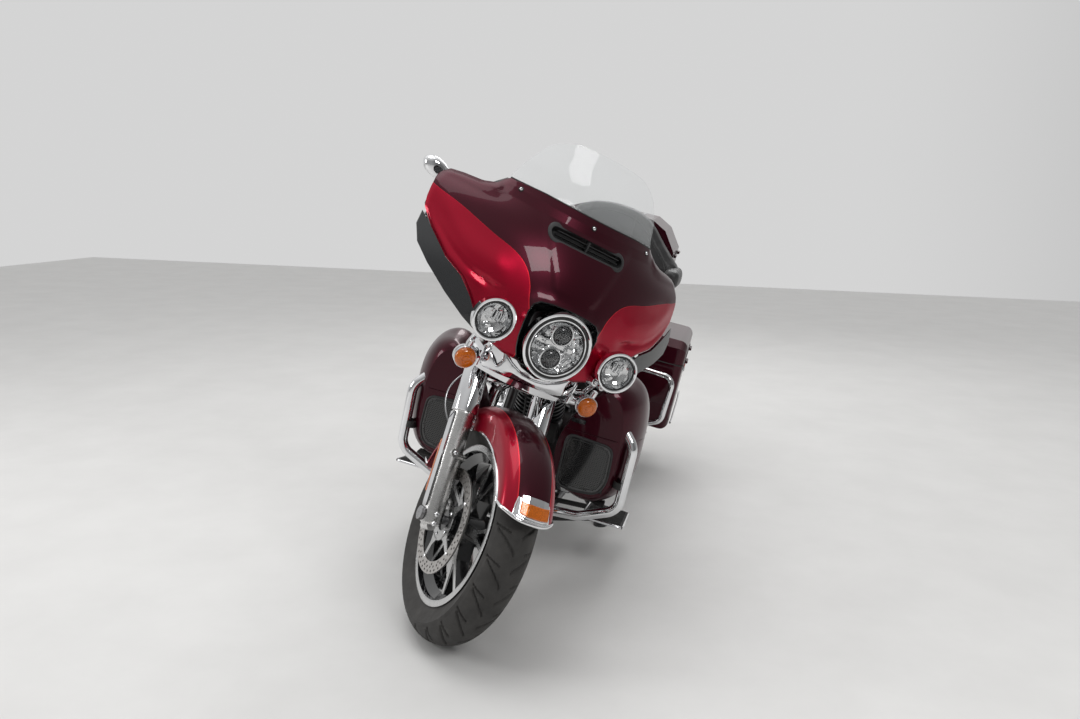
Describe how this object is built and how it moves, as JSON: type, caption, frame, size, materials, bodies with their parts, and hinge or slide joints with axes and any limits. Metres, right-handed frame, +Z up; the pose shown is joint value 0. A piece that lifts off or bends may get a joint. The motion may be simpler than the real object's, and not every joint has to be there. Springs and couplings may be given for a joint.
{
  "type": "touring motorcycle",
  "caption": "Full-dress touring cruiser motorcycle with fork-mounted fairing, hard luggage and turning wheels, leaning on its side stand.",
  "frame": {"origin": "on the floor, below the middle of the object's outline", "axes": "+Y from nose to tail, +X towards the rider's left, to which the parked bike leans, +Z up"},
  "size_m": [0.9296, 2.3104, 1.3802],
  "materials": {
    "paint_dark": "gloss",
    "paint_red": "gloss",
    "chrome": "polished",
    "satin_alloy": "satin",
    "machined_steel": "brushed",
    "engine_black": "satin",
    "black_gloss": "gloss",
    "black_plastic": "matte",
    "rubber": "matte",
    "tyre_rubber": "matte",
    "leather": "satin",
    "clear_screen": "gloss",
    "lamp_glass": "gloss",
    "smoked_plastic": "gloss",
    "amber_lens": "gloss",
    "red_lens": "gloss"
  },
  "bodies": {
    "chassis": {"frame": "engine_black", "engine": "engine_black", "engine_covers": "chrome", "air_cleaner": "chrome", "exhaust": "chrome", "fuel_tank": "paint_red", "tank_console": "chrome", "seat": "leather", "rear_fender": "paint_dark", "side_covers": "paint_dark", "swingarm": "engine_black", "shocks": "engine_black", "belt": "rubber", "saddlebag_bodies": "paint_dark", "top_case_base": "paint_dark", "backrest": "leather", "luggage_rack": "chrome", "tail_lamps": "red_lens", "plate_bracket": "engine_black", "lower_fairings": "paint_dark", "lower_grilles": "black_plastic", "crash_guards": "chrome", "footboards": "chrome"},
    "steering": {"triple_clamps": "satin_alloy", "fork_sliders": "satin_alloy", "fork_covers": "chrome", "front_axle": "machined_steel", "front_fender": "paint_red", "front_calipers": "black_gloss", "lamp_shells": "chrome", "lamp_lenses": "lamp_glass", "turn_lenses": "amber_lens", "fork_nacelle": "chrome", "outer_fairing": "paint_red", "fairing_vent": "black_gloss", "inner_fairing": "black_plastic", "windshield": "clear_screen", "air_deflectors": "smoked_plastic", "mirrors": "chrome", "handlebar": "chrome", "grips": "rubber", "hand_controls": "chrome"},
    "front_wheel": {"front_tyre": "tyre_rubber", "front_wheel": "engine_black", "front_discs": "machined_steel"},
    "rear_wheel": {"rear_tyre": "tyre_rubber", "rear_wheel": "engine_black", "rear_disc_and_pulley": "machined_steel"},
    "side_stand": {"side_stand": "engine_black"},
    "bag_lid_left": {"saddlebag_lid_left": "paint_dark"},
    "bag_lid_right": {"saddlebag_lid_right": "paint_dark"},
    "top_case_lid": {"top_case_lid": "paint_dark"},
    "fuel_door": {"fuel_door": "chrome"}
  },
  "joints": [
    {"name": "steering_turn", "type": "hinge", "parent": "chassis", "child": "steering", "pos_m": [0.05071, -0.65532, 0.76775], "axis": [0.188, 0.4271, 0.8844], "range_deg": [-70, 0]},
    {"name": "front_wheel_spin", "type": "hinge", "parent": "steering", "child": "front_wheel", "pos_m": [-0.05647, -0.87155, 0.29803], "axis": [0.7503, 0.5186, -0.4099], "continuous": true},
    {"name": "rear_wheel_spin", "type": "hinge", "parent": "chassis", "child": "rear_wheel", "pos_m": [-0.04544, 0.75537, 0.31541], "axis": [0.9781, 0, -0.2079], "continuous": true},
    {"name": "side_stand_fold", "type": "hinge", "parent": "chassis", "child": "side_stand", "pos_m": [0.09209, 0.10478, 0.12554], "axis": [0.7585, -0.0497, 0.6498], "range_deg": [0, 88]},
    {"name": "bag_lid_left_open", "type": "hinge", "parent": "chassis", "child": "bag_lid_left", "pos_m": [0.45835, 0.76388, 0.53561], "axis": [0.0026, 0.9999, 0.0122], "range_deg": [0, 75]},
    {"name": "bag_lid_right_open", "type": "hinge", "parent": "chassis", "child": "bag_lid_right", "pos_m": [-0.41611, 0.76388, 0.72148], "axis": [-0.0026, -0.9999, -0.0122], "range_deg": [0, 75]},
    {"name": "top_case_lid_open", "type": "hinge", "parent": "chassis", "child": "top_case_lid", "pos_m": [0.38145, 0.87382, 0.96744], "axis": [0.0026, 0.9999, 0.0122], "range_deg": [0, 80]},
    {"name": "fuel_door_open", "type": "hinge", "parent": "chassis", "child": "fuel_door", "pos_m": [0.08977, -0.26532, 0.95152], "axis": [0.9781, 0, -0.2079], "range_deg": [0, 95]}
  ]
}
